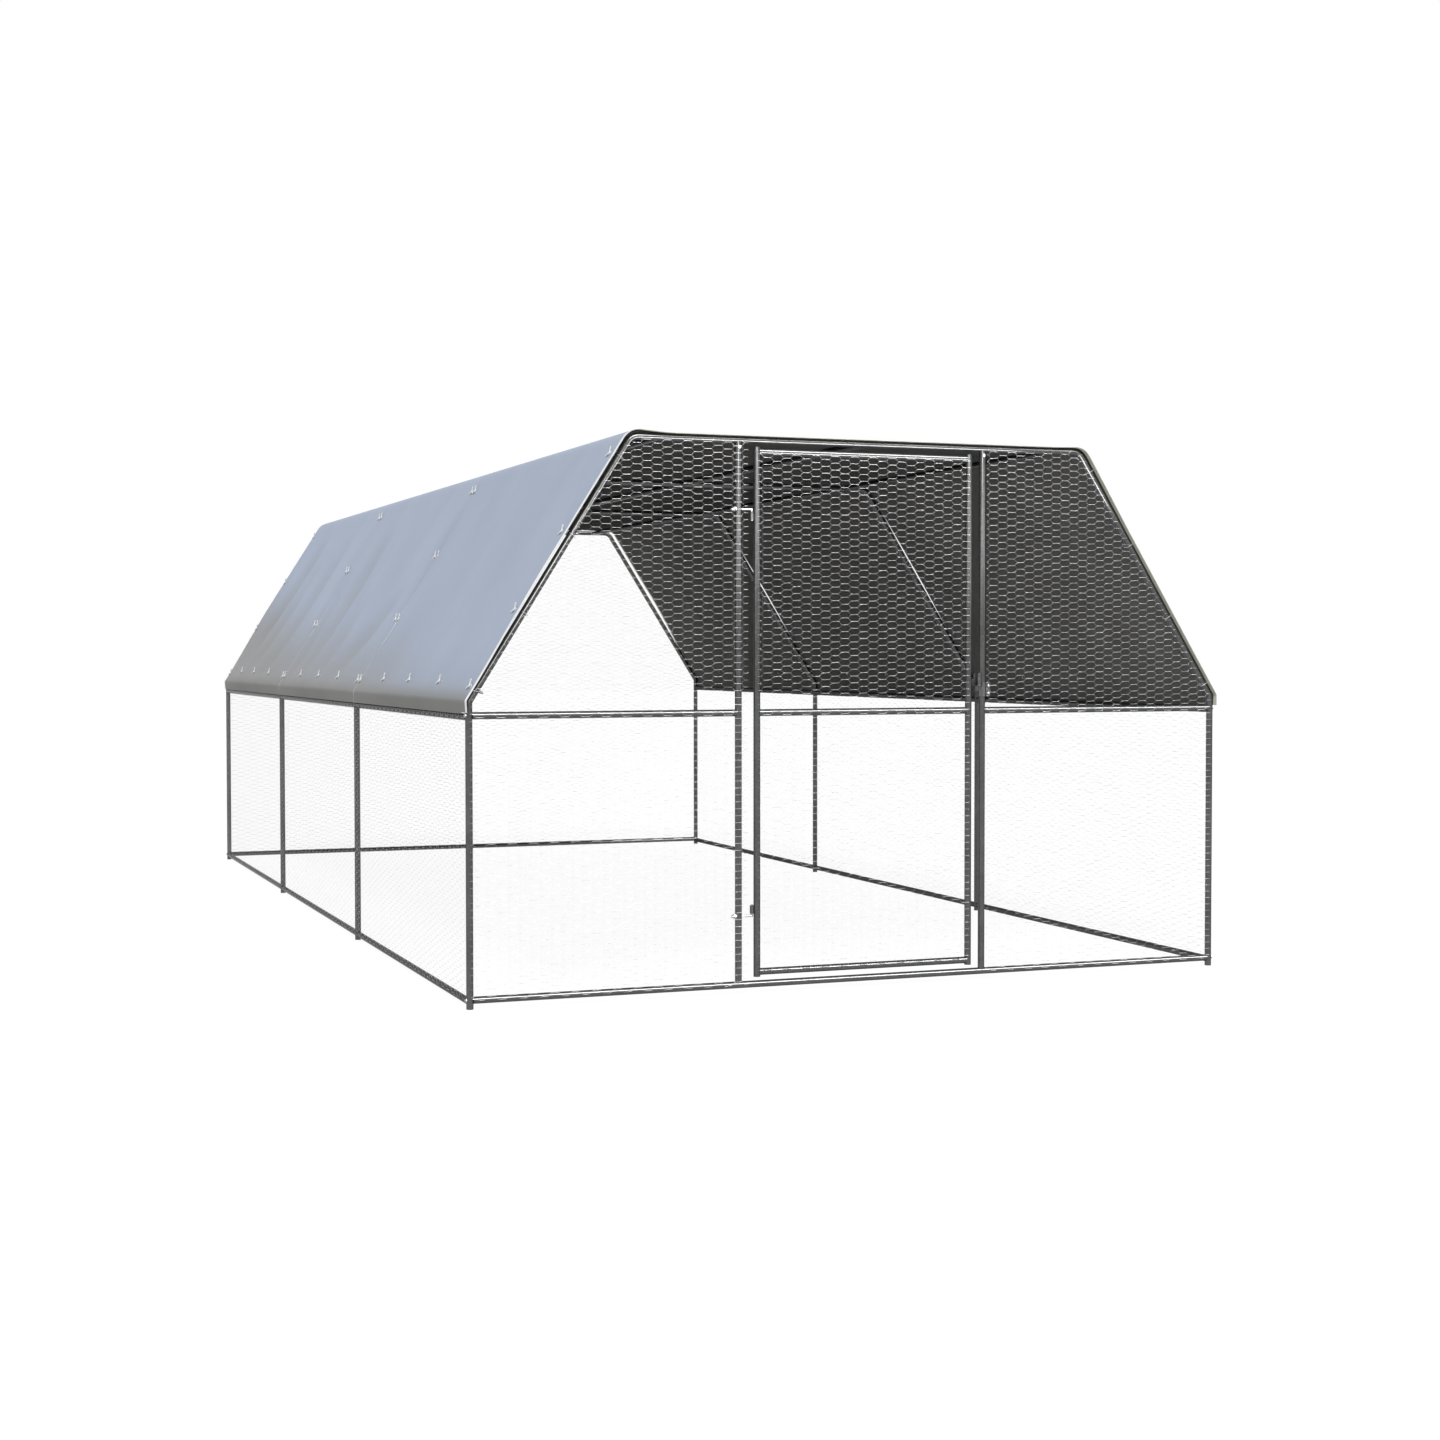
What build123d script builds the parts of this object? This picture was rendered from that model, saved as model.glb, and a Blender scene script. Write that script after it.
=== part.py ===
# A walk-in poultry run: tube ribs and rails, wire nets, a hinged door with a fork latch, three roof covers.
# Millimetres. X runs across the front, Y from the front (minus) to the back, Z up from the ground.
import math
import os

from build123d import *

os.makedirs("parts", exist_ok=True)

# Tube, modelled solid because nothing shows its inside
tube_radius = 12.5
# Rails stop short of the sharp tips that a full saddle cut would leave
saddle_setback = 7.5

# Ribs
post_x = 1490
bay = 1962
rib_y = (-1.5 * bay, -0.5 * bay, 0.5 * bay, 1.5 * bay)
front_y = rib_y[0]
back_y = rib_y[3]
knee_z = 1063
corner_x = 900
top_z = 1996
top_bend = 50
slope_angle = math.atan2(top_z - knee_z, post_x - corner_x)
slope_degrees = math.degrees(slope_angle)
bend_tangent = top_bend * math.tan(slope_angle / 2)
top_end_x = corner_x - bend_tangent

# Rails
eave_z = 1010
mid_z = 1015
side_bottom_z = 25.5
end_bottom_z = 31
purlin_x = 800

# Door
left_door_post_x = -495
right_door_post_x = 488
left_stile_x = -423
right_stile_x = 431
stile_bottom = 57
stile_top = 1972
door_rail_z = {"top": 1956, "mid": mid_z, "bottom": 75}

# Hinges
pin_x = -442.5
pin_radius = 4
pin_length = 41
upper_hook_z = 1748
lower_hook_z = 279
sleeve_radius = 7.5
sleeve_length = 30
sleeve_gap = 8
running_clearance = 0.05

# Latch
latch_z = 1094
pivot_x = 465
pivot_radius = 3
strap_thickness = 2.5
strap_height = 52
plate_thickness = 5
flange_length = 22
tongue_height = 14
pivot_tail = 3
fork_reach = 62
fork_inside = 16
fork_thickness = 3
fork_width = 12
fork_lean = 3
cheek_radius = 7
web_start = 12
web_end = 16

# Nets: the strands are grouped, so each gap stands for many gaps of the real wire
net_thickness = 1
net_strand = 6
net_inset = 9
fine_cell = (560, 350)
coarse_cell = (880, 550)
smallest_gap = 900

# Covers
cover_thickness = 2
cover_overhang = 30
cover_edge_z = 1024
cover_slit = 20
cover_slit_offset = 3
cover_fold = 1.5

sides = (("left", -1), ("right", 1))

# Posts: mitred at the knee, where the rafters meet them
for side_name, side in sides:
    slope_way = (-side * math.cos(slope_angle), 0, 1 + math.sin(slope_angle))
    mitre = Plane((side * post_x, 0, knee_z), z_dir=slope_way)
    for rib, y in enumerate(rib_y, start=1):
        with BuildPart() as post:
            with BuildSketch(Plane((side * post_x, y, 0))):
                Circle(tube_radius)
            extrude(amount=knee_z + tube_radius)
            split(bisect_by=mitre, keep=Keep.BOTTOM)
        post.part.label = f"{side_name}_post_{rib}"
        export_step(post.part, f"parts/{side_name}_post_{rib}.step")

# Rafters: mitred at the knee, bent at the top into line with the top tube
for side_name, side in sides:
    run = side * math.cos(slope_angle)
    rise = math.sin(slope_angle)
    rafter_start = (side * post_x + run * tube_radius, knee_z - rise * tube_radius)
    bend_start = (side * corner_x + run * bend_tangent, top_z - rise * bend_tangent)
    bend_centre = (side * top_end_x, top_z - top_bend)
    mitre = Plane((side * post_x, 0, knee_z), z_dir=(-run, 0, 1 + rise))
    with BuildPart() as rafters:
        for y in rib_y:
            with BuildLine(Plane.XZ.offset(-y)) as rafter_run:
                Line(rafter_start, bend_start)
                CenterArc(bend_centre, top_bend, 90 - side * slope_degrees, side * slope_degrees)
            with BuildSketch(Plane(rafter_run.line @ 0, z_dir=rafter_run.line % 0)):
                Circle(tube_radius)
            sweep(path=rafter_run.line)
        split(bisect_by=mitre, keep=Keep.TOP)
    rafters.part.label = f"{side_name}_rafters"
    export_step(rafters.part, f"parts/{side_name}_rafters.step")

# Top tubes
for rib, y in enumerate(rib_y, start=1):
    with BuildPart() as top_tube:
        with BuildSketch(Plane((-top_end_x, y, top_z), z_dir=(1, 0, 0))):
            Circle(tube_radius)
        extrude(amount=2 * top_end_x)
    top_tube.part.label = f"top_tube_{rib}"
    export_step(top_tube.part, f"parts/top_tube_{rib}.step")

# Purlins: three lines under the roof, saddle-cut onto the top tubes
for line_name, x in (("left", -purlin_x), ("ridge", 0), ("right", purlin_x)):
    with BuildPart() as purlins:
        for y in rib_y[:-1]:
            with BuildSketch(Plane((x, y + saddle_setback, top_z), z_dir=(0, 1, 0))):
                Circle(tube_radius)
            extrude(amount=bay - 2 * saddle_setback)
        for y in rib_y:
            with BuildSketch(Plane((x, y, top_z), z_dir=(1, 0, 0))):
                Circle(tube_radius)
            extrude(amount=2 * tube_radius, both=True, mode=Mode.SUBTRACT)
    purlins.part.label = f"{line_name}_purlins"
    export_step(purlins.part, f"parts/{line_name}_purlins.step")

# Side rails: at the ground and at the eaves, saddle-cut onto the posts
for side_name, side in sides:
    for level_name, height in (("bottom", side_bottom_z), ("eave", eave_z)):
        with BuildPart() as side_rails:
            for y in rib_y[:-1]:
                with BuildSketch(Plane((side * post_x, y + saddle_setback, height), z_dir=(0, 1, 0))):
                    Circle(tube_radius)
                extrude(amount=bay - 2 * saddle_setback)
            for y in rib_y:
                with BuildSketch(Plane((side * post_x, y, height))):
                    Circle(tube_radius)
                extrude(amount=2 * tube_radius, both=True, mode=Mode.SUBTRACT)
        side_rails.part.label = f"{side_name}_{level_name}_rails"
        export_step(side_rails.part, f"parts/{side_name}_{level_name}_rails.step")

# Front and back bottom rails: coped round the posts and the side rails that meet there
for end_name, y in (("front", front_y), ("back", back_y)):
    with BuildPart() as bottom_rail:
        with BuildSketch(Plane((-post_x + saddle_setback, y, end_bottom_z), z_dir=(1, 0, 0))):
            Circle(tube_radius)
        extrude(amount=2 * (post_x - saddle_setback))
        for side_name, side in sides:
            with BuildSketch(Plane((side * post_x, y, end_bottom_z))):
                Circle(tube_radius)
            extrude(amount=2 * tube_radius, both=True, mode=Mode.SUBTRACT)
            with BuildSketch(Plane((side * post_x, y, side_bottom_z), z_dir=(0, 1, 0))):
                Circle(tube_radius)
            extrude(amount=2 * tube_radius, both=True, mode=Mode.SUBTRACT)
    bottom_rail.part.label = f"{end_name}_bottom_rail"
    export_step(bottom_rail.part, f"parts/{end_name}_bottom_rail.step")

# Front mid rails: from the corner posts to the door posts
for side_name, side, door_post_x in (("left", -1, left_door_post_x), ("right", 1, right_door_post_x)):
    with BuildPart() as mid_rail:
        outer_end = side * (post_x - saddle_setback)
        inner_end = door_post_x + side * saddle_setback
        with BuildSketch(Plane((outer_end, front_y, mid_z), z_dir=(-side, 0, 0))):
            Circle(tube_radius)
        extrude(amount=abs(outer_end - inner_end))
        for x in (side * post_x, door_post_x):
            with BuildSketch(Plane((x, front_y, mid_z))):
                Circle(tube_radius)
            extrude(amount=2 * tube_radius, both=True, mode=Mode.SUBTRACT)
        with BuildSketch(Plane((side * post_x, front_y, eave_z), z_dir=(0, 1, 0))):
            Circle(tube_radius)
        extrude(amount=2 * tube_radius, both=True, mode=Mode.SUBTRACT)
    mid_rail.part.label = f"front_{side_name}_mid_rail"
    export_step(mid_rail.part, f"parts/front_{side_name}_mid_rail.step")

# Door posts: between the bottom rail and the top tube
for side_name, x in (("left", left_door_post_x), ("right", right_door_post_x)):
    with BuildPart() as door_post:
        with BuildSketch(Plane((x, front_y, end_bottom_z + saddle_setback))):
            Circle(tube_radius)
        extrude(amount=top_z - end_bottom_z - 2 * saddle_setback)
        for height in (end_bottom_z, top_z):
            with BuildSketch(Plane((x, front_y, height), z_dir=(1, 0, 0))):
                Circle(tube_radius)
            extrude(amount=2 * tube_radius, both=True, mode=Mode.SUBTRACT)
    door_post.part.label = f"{side_name}_door_post"
    export_step(door_post.part, f"parts/{side_name}_door_post.step")

# Door stiles
for side_name, x in (("left", left_stile_x), ("right", right_stile_x)):
    with BuildPart() as stile:
        with BuildSketch(Plane((x, front_y, stile_bottom))):
            Circle(tube_radius)
        extrude(amount=stile_top - stile_bottom)
    stile.part.label = f"door_{side_name}_stile"
    export_step(stile.part, f"parts/door_{side_name}_stile.step")

# Door rails
for rail_name, height in door_rail_z.items():
    with BuildPart() as door_rail:
        with BuildSketch(Plane((left_stile_x + saddle_setback, front_y, height), z_dir=(1, 0, 0))):
            Circle(tube_radius)
        extrude(amount=right_stile_x - left_stile_x - 2 * saddle_setback)
        for x in (left_stile_x, right_stile_x):
            with BuildSketch(Plane((x, front_y, height))):
                Circle(tube_radius)
            extrude(amount=2 * tube_radius, both=True, mode=Mode.SUBTRACT)
    door_rail.part.label = f"door_{rail_name}_rail"
    export_step(door_rail.part, f"parts/door_{rail_name}_rail.step")

# Hinge hooks: a bar from the left door post, turned into a pin that points down above and up below
for hook_name, height, pin_way in (("upper", upper_hook_z, -1), ("lower", lower_hook_z, 1)):
    with BuildPart() as hook:
        with BuildLine(Plane.XZ.offset(-front_y)) as hook_run:
            Polyline((left_door_post_x, height), (pin_x, height), (pin_x, height + pin_way * pin_length))
        with BuildSketch(Plane((left_door_post_x, front_y, height), z_dir=(1, 0, 0))):
            Circle(pin_radius)
        sweep(path=hook_run.line, transition=Transition.RIGHT)
        with BuildSketch(Plane((left_door_post_x, front_y, height))):
            Circle(tube_radius)
        extrude(amount=tube_radius, both=True, mode=Mode.SUBTRACT)
    hook.part.label = f"{hook_name}_hinge_hook"
    export_step(hook.part, f"parts/{hook_name}_hinge_hook.step")

# Hinge sleeves: welded to the left stile, one over each pin
with BuildPart() as hinge_sleeves:
    for start in (upper_hook_z - sleeve_gap - sleeve_length, lower_hook_z + sleeve_gap):
        with BuildSketch(Plane((pin_x, front_y, start))):
            Circle(sleeve_radius)
            Circle(pin_radius + running_clearance, mode=Mode.SUBTRACT)
        extrude(amount=sleeve_length)
    with BuildSketch(Plane((left_stile_x, front_y, stile_bottom))):
        Circle(tube_radius)
    extrude(amount=stile_top - stile_bottom, mode=Mode.SUBTRACT)
hinge_sleeves.part.label = "hinge_sleeves"
export_step(hinge_sleeves.part, "parts/hinge_sleeves.step")

# Latch clamp: a strap round the right door post, with a flange to bolt it and a tongue for the fork
with BuildPart() as latch_clamp:
    with BuildSketch(Plane((right_door_post_x, front_y, latch_z - strap_height / 2))):
        RegularPolygon(tube_radius + strap_thickness, 8, major_radius=False, rotation=22.5)
        with Locations((tube_radius + flange_length / 2, 0)):
            Rectangle(flange_length, plate_thickness)
        Circle(tube_radius, mode=Mode.SUBTRACT)
    extrude(amount=strap_height)
    tongue_end = right_door_post_x - tube_radius - strap_thickness / 2
    with BuildSketch(Plane((pivot_x, front_y, latch_z), x_dir=(1, 0, 0), z_dir=(0, -1, 0))):
        with Locations(((tongue_end - pivot_x - tongue_height / 2) / 2, 0)):
            Rectangle(tongue_end - pivot_x + tongue_height / 2, tongue_height)
    extrude(amount=plate_thickness / 2, both=True)
    with BuildSketch(Plane((pivot_x, front_y, latch_z), z_dir=(0, -1, 0))):
        Circle(pivot_radius + running_clearance)
    extrude(amount=plate_thickness, both=True, mode=Mode.SUBTRACT)
latch_clamp.part.label = "latch_clamp"
export_step(latch_clamp.part, "parts/latch_clamp.step")

# Latch pivot: a pin through the tongue and the fork's cheeks
cheek_inside = plate_thickness / 2 + 0.3
cheek_outside = cheek_inside + fork_thickness
with BuildPart() as latch_pivot:
    with BuildSketch(Plane((pivot_x, front_y, latch_z), z_dir=(0, -1, 0))):
        Circle(pivot_radius)
    extrude(amount=cheek_outside + pivot_tail, both=True)
latch_pivot.part.label = "latch_pivot"
export_step(latch_pivot.part, "parts/latch_pivot.step")

# Latch fork, raised: two cheeks on the pivot, a web across, and two prongs that straddle the door stile
with BuildPart() as latch_fork:
    for way in (-1, 1):
        cheek_y = front_y + way * (cheek_inside + cheek_outside) / 2
        with BuildSketch(Plane((pivot_x, cheek_y, latch_z), x_dir=(1, 0, 0), z_dir=(0, -1, 0))):
            with Locations((0, web_end / 2)):
                Rectangle(2 * cheek_radius, web_end)
            Circle(cheek_radius)
            Circle(pivot_radius + running_clearance, mode=Mode.SUBTRACT)
        extrude(amount=fork_thickness / 2, both=True)
        prong_y = front_y + way * (fork_inside + fork_thickness / 2)
        with BuildSketch(Plane((pivot_x + fork_lean, prong_y, latch_z), x_dir=(1, 0, 0), z_dir=(0, -1, 0))):
            with BuildLine():
                Polyline(
                    (-fork_width / 2, web_start),
                    (fork_width / 2, web_start),
                    (fork_width / 2, fork_reach - fork_width / 2),
                    (fork_width / 4, fork_reach),
                    (-fork_width / 4, fork_reach),
                    (-fork_width / 2, fork_reach - fork_width / 2),
                    close=True,
                )
            make_face()
        extrude(amount=fork_thickness / 2, both=True)
    with BuildSketch(Plane((pivot_x, front_y, latch_z + web_start))):
        Rectangle(2 * cheek_radius, 2 * (fork_inside + fork_thickness))
    extrude(amount=web_end - web_start)
latch_fork.part.label = "latch_fork"
export_step(latch_fork.part, "parts/latch_fork.step")

# Nets: flat plates on the outside of the tubes, cut with rows of staggered six-sided gaps
front_net_plane = Plane.XZ.offset(-front_y + tube_radius)
back_net_plane = Plane.XZ.offset(-back_y - tube_radius)
left_net_plane = Plane.YZ.offset(-post_x - tube_radius)
right_net_plane = Plane.YZ.offset(post_x + tube_radius)
gable = (
    (-post_x, end_bottom_z),
    (-post_x, knee_z),
    (-corner_x, top_z),
    (corner_x, top_z),
    (post_x, knee_z),
    (post_x, end_bottom_z),
)
front_left = (
    (-post_x, end_bottom_z),
    (-post_x, knee_z),
    (-corner_x, top_z),
    (left_door_post_x + 25, top_z),
    (left_door_post_x + 25, end_bottom_z),
)
front_right = (
    (post_x, end_bottom_z),
    (post_x, knee_z),
    (corner_x, top_z),
    (right_door_post_x + tube_radius, top_z),
    (right_door_post_x + tube_radius, end_bottom_z),
)
door_panel = (
    (left_stile_x, door_rail_z["bottom"]),
    (left_stile_x, door_rail_z["top"]),
    (right_stile_x, door_rail_z["top"]),
    (right_stile_x, door_rail_z["bottom"]),
)
side_wall = (
    (front_y + net_inset, side_bottom_z),
    (front_y + net_inset, eave_z + net_inset),
    (back_y - net_inset, eave_z + net_inset),
    (back_y - net_inset, side_bottom_z),
)
nets = (
    ("front_left_net", front_net_plane, front_left, fine_cell, 1),
    ("front_right_net", front_net_plane, front_right, fine_cell, 1),
    ("door_net", front_net_plane, door_panel, fine_cell, 1),
    ("back_net", back_net_plane, gable, coarse_cell, -1),
    ("left_net", left_net_plane, side_wall, coarse_cell, -1),
    ("right_net", right_net_plane, side_wall, coarse_cell, 1),
)
for net_name, net_plane, outline, cell, way in nets:
    column, row = cell
    first_x = min(x for x, z in outline)
    last_x = max(x for x, z in outline)
    columns = round((last_x - first_x) / column) + 1
    rows = round(top_z / row) + 1
    twist = 0.325 * column
    with BuildSketch(net_plane) as gaps:
        with BuildLine():
            Polyline(
                (-twist, -row / 2),
                (twist, -row / 2),
                (column - twist, 0),
                (twist, row / 2),
                (-twist, row / 2),
                (twist - column, 0),
                close=True,
            )
        hexagon = make_face(mode=Mode.PRIVATE)
        hexagon = offset(hexagon, amount=-net_strand / 2, mode=Mode.PRIVATE)
        for i in range(columns + 1):
            for j in range(rows + 1):
                with Locations((first_x + i * column, side_bottom_z + (j + 0.5 * (i % 2)) * row)):
                    add(hexagon)
        with BuildLine():
            Polyline(*outline, close=True)
        border = make_face(mode=Mode.PRIVATE)
        offset(border, amount=-net_strand, mode=Mode.INTERSECT)
    with BuildPart() as net:
        with BuildSketch(net_plane) as plate:
            with BuildLine():
                Polyline(*outline, close=True)
            make_face()
            for gap in gaps.sketch_local.faces():
                if gap.area > smallest_gap:
                    add(gap, mode=Mode.SUBTRACT)
        extrude(amount=way * net_thickness)
    net.part.label = net_name
    export_step(net.part, f"parts/{net_name}.step")

# Covers: one sheet over each bay, lying on the ribs and hanging past the knees
cover_middle = tube_radius + cover_thickness / 2
cover_x = post_x + cover_middle
cover_knee_z = knee_z + cover_middle * math.tan((math.pi / 2 - slope_angle) / 2)
cover_corner_x = corner_x + cover_middle * math.tan(slope_angle / 2)
cover_top_z = top_z + cover_middle
cover_spans = (
    ("front_cover", front_y - cover_overhang, rib_y[1] - cover_slit - cover_slit_offset),
    ("middle_cover", rib_y[1] - cover_slit_offset, rib_y[2] - cover_slit - cover_slit_offset),
    ("rear_cover", rib_y[2] - cover_slit_offset, back_y + cover_overhang),
)
for cover_name, start_y, end_y in cover_spans:
    with BuildPart() as cover:
        with BuildSketch(Plane.XZ.offset(-start_y)):
            with BuildLine():
                FilletPolyline(
                    (-cover_x, cover_edge_z),
                    (-cover_x, cover_knee_z),
                    (-cover_corner_x, cover_top_z),
                    (cover_corner_x, cover_top_z),
                    (cover_x, cover_knee_z),
                    (cover_x, cover_edge_z),
                    radius=(cover_fold, top_bend + cover_middle, top_bend + cover_middle, cover_fold),
                )
            trace(line_width=cover_thickness)
        extrude(amount=start_y - end_y)
    cover.part.label = cover_name
    export_step(cover.part, f"parts/{cover_name}.step")
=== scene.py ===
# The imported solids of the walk-in run come in first, as a fixed frame that nothing below moves.
import math

import bpy
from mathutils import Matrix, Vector


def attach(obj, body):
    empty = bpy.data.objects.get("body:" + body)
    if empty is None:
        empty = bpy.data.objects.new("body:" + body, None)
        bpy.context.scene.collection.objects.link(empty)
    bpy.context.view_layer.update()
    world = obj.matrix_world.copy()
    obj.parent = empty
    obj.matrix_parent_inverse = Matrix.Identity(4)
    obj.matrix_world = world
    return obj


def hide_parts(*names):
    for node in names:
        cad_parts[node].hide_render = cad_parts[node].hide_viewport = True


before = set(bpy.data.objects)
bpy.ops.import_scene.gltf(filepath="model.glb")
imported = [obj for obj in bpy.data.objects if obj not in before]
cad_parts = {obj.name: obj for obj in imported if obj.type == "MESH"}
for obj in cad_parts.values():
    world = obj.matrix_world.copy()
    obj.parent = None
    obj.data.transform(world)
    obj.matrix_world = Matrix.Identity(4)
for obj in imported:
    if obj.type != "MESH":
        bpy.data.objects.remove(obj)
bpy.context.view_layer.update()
scene = bpy.context.scene

# Ribs, rails, posts and door frame: welded steel tube, 25 mm across, dipped in zinc.
# The zinc sets to a dull grey with small crystals and faint runs.
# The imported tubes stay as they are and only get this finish.


def new_finish(name):
    finish = bpy.data.materials.new(name)
    finish.use_nodes = True
    tree = finish.node_tree
    return finish, tree.nodes, tree.links, tree.nodes["Principled BSDF"]


def colour_steps(nodes, steps):
    ramp = nodes.new("ShaderNodeValToRGB")
    ramp.color_ramp.elements[0].position = steps[0][0]
    ramp.color_ramp.elements[0].color = (*steps[0][1], 1)
    ramp.color_ramp.elements[1].position = steps[1][0]
    ramp.color_ramp.elements[1].color = (*steps[1][1], 1)
    for position, colour in steps[2:]:
        ramp.color_ramp.elements.new(position).color = (*colour, 1)
    return ramp


def zinc_finish(name, dark, light, smoothest, roughest, edge, metal=1):
    finish, nodes, links, shader = new_finish(name)
    place = nodes.new("ShaderNodeTexCoord")
    crystals = nodes.new("ShaderNodeTexVoronoi")
    crystals.inputs["Scale"].default_value = 170
    runs = nodes.new("ShaderNodeTexNoise")
    runs.inputs["Scale"].default_value = 9
    runs.inputs["Detail"].default_value = 6
    runs.inputs["Roughness"].default_value = 0.62
    speckle = nodes.new("ShaderNodeMix")
    speckle.data_type = "RGBA"
    speckle.inputs["Factor"].default_value = 0.35
    tone = colour_steps(nodes, ((0.32, dark), (0.68, light)))
    polish = nodes.new("ShaderNodeMapRange")
    polish.inputs["From Min"].default_value = 0.3
    polish.inputs["From Max"].default_value = 0.7
    polish.inputs["To Min"].default_value = smoothest
    polish.inputs["To Max"].default_value = roughest
    grain = nodes.new("ShaderNodeTexNoise")
    grain.inputs["Scale"].default_value = 420
    grain.inputs["Detail"].default_value = 3
    bump = nodes.new("ShaderNodeBump")
    bump.inputs["Strength"].default_value = 0.06
    bump.inputs["Distance"].default_value = 0.0006
    for texture in (crystals, runs, grain):
        links.new(place.outputs["Object"], texture.inputs["Vector"])
    links.new(runs.outputs["Fac"], speckle.inputs["A"])
    links.new(crystals.outputs["Color"], speckle.inputs["B"])
    links.new(speckle.outputs["Result"], tone.inputs["Fac"])
    links.new(tone.outputs["Color"], shader.inputs["Base Color"])
    links.new(runs.outputs["Fac"], polish.inputs["Value"])
    links.new(polish.outputs["Result"], shader.inputs["Roughness"])
    links.new(grain.outputs["Fac"], bump.inputs["Height"])
    links.new(bump.outputs["Normal"], shader.inputs["Normal"])
    shader.inputs["Metallic"].default_value = metal
    shader.inputs["Specular IOR Level"].default_value = 0.1
    shader.inputs["Specular Tint"].default_value = (edge, edge, edge, 1)
    return finish


tube_zinc = zinc_finish(
    "galvanised_tube",
    dark=(0.095, 0.096, 0.097),
    light=(0.140, 0.141, 0.142),
    smoothest=0.10,
    roughest=0.15,
    edge=0.12,
    metal=0.6,
)
tube_nodes = [f"{side}_post_{rib}" for side in ("left", "right") for rib in (1, 2, 3, 4)]
tube_nodes += [f"top_tube_{rib}" for rib in (1, 2, 3, 4)]
tube_nodes += ["left_rafters", "right_rafters", "left_purlins", "ridge_purlins", "right_purlins"]
tube_nodes += ["left_eave_rails", "right_eave_rails", "left_bottom_rails", "right_bottom_rails"]
tube_nodes += ["front_bottom_rail", "back_bottom_rail", "front_left_mid_rail", "front_right_mid_rail"]
tube_nodes += ["left_door_post", "right_door_post", "door_left_stile", "door_right_stile"]
tube_nodes += ["door_top_rail", "door_mid_rail", "door_bottom_rail"]
for name in tube_nodes:
    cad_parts[name].data.materials.clear()
    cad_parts[name].data.materials.append(tube_zinc)

# Hinge hooks, sleeves and the fork latch: small steel parts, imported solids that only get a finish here.
# The hooks are bright zinc plated. The sleeves and the latch are dull zinc, rougher than the tubes.
bright_zinc = zinc_finish(
    "bright_zinc_plate",
    dark=(0.36, 0.36, 0.355),
    light=(0.50, 0.50, 0.495),
    smoothest=0.2,
    roughest=0.32,
    edge=0.6,
)
for name in ("upper_hinge_hook", "lower_hinge_hook"):
    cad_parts[name].data.materials.clear()
    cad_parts[name].data.materials.append(bright_zinc)
latch_zinc = zinc_finish(
    "latch_zinc",
    dark=(0.100, 0.101, 0.103),
    light=(0.150, 0.151, 0.153),
    smoothest=0.24,
    roughest=0.36,
    edge=0.2,
    metal=0.6,
)
for name in ("hinge_sleeves", "latch_clamp", "latch_fork", "latch_pivot"):
    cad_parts[name].data.materials.clear()
    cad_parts[name].data.materials.append(latch_zinc)

# Bolts that join the rails to the corner posts: low round heads on a small flange, zinc plated.
# Each goes through its post into the end of the rail, with the head on the outer side.


def turned(name, sides, rings):
    # A round or many-sided head, drawn up ring by ring from its height and radius
    bpy.ops.object.select_all(action="DESELECT")
    height, radius = rings[0]
    bpy.ops.mesh.primitive_circle_add(
        vertices=sides,
        radius=radius,
        fill_type="NGON",
        location=(0, 0, 0),
    )
    piece = bpy.context.object
    piece.name = name
    bpy.ops.object.mode_set(mode="EDIT")
    bpy.ops.mesh.select_all(action="SELECT")
    bpy.ops.transform.translate(value=(0, 0, height))
    for next_height, next_radius in rings[1:]:
        bpy.ops.mesh.extrude_region_move(TRANSFORM_OT_translate={"value": (0, 0, next_height - height)})
        share = next_radius / radius
        bpy.ops.transform.resize(value=(share, share, 1), center_override=(0, 0, next_height))
        height = next_height
        radius = next_radius
    bpy.ops.mesh.select_all(action="SELECT")
    bpy.ops.mesh.normals_make_consistent(inside=False)
    bpy.ops.object.mode_set(mode="OBJECT")
    bpy.ops.object.shade_smooth_by_angle(angle=math.radians(40))
    return piece


def place_copies(model, name, places):
    # One piece made of copies of the model, each with its own place and turn
    copies = []
    for spot, turn in places:
        copy = model.copy()
        copy.data = model.data.copy()
        scene.collection.objects.link(copy)
        copy.location = spot
        copy.rotation_euler = turn
        copies.append(copy)
    bpy.ops.object.select_all(action="DESELECT")
    for copy in copies:
        copy.select_set(True)
    bpy.context.view_layer.objects.active = copies[0]
    bpy.ops.object.transform_apply(location=True, rotation=True, scale=True)
    if len(copies) > 1:
        bpy.ops.object.join()
    copies[0].name = name
    bpy.data.objects.remove(model)
    return copies[0]


facing_left = (0, -math.pi / 2, 0)
facing_right = (0, math.pi / 2, 0)
facing_front = (math.pi / 2, 0, 0)
facing_back = (-math.pi / 2, 0, 0)
bolt_head_rings = (
    (-0.001, 0.0078),
    (0.0008, 0.0078),
    (0.0012, 0.0062),
    (0.003, 0.0058),
    (0.0045, 0.0044),
    (0.0052, 0.0016),
)
bolt_head = turned("bolt_head", 20, bolt_head_rings)
post_face = 1.5024
front_y = -2.943
end_rail_z = 0.031
mid_rail_z = 1.015
bolt_places = []
for y, z in ((front_y, end_rail_z), (front_y, mid_rail_z), (-front_y, end_rail_z)):
    bolt_places.append(((-post_face, y, z), facing_left))
    bolt_places.append(((post_face, y, z), facing_right))
corner_bolts = place_copies(bolt_head, "corner_bolts", bolt_places)
corner_bolts.data.materials.append(bright_zinc)
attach(corner_bolts, "frame")

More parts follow.
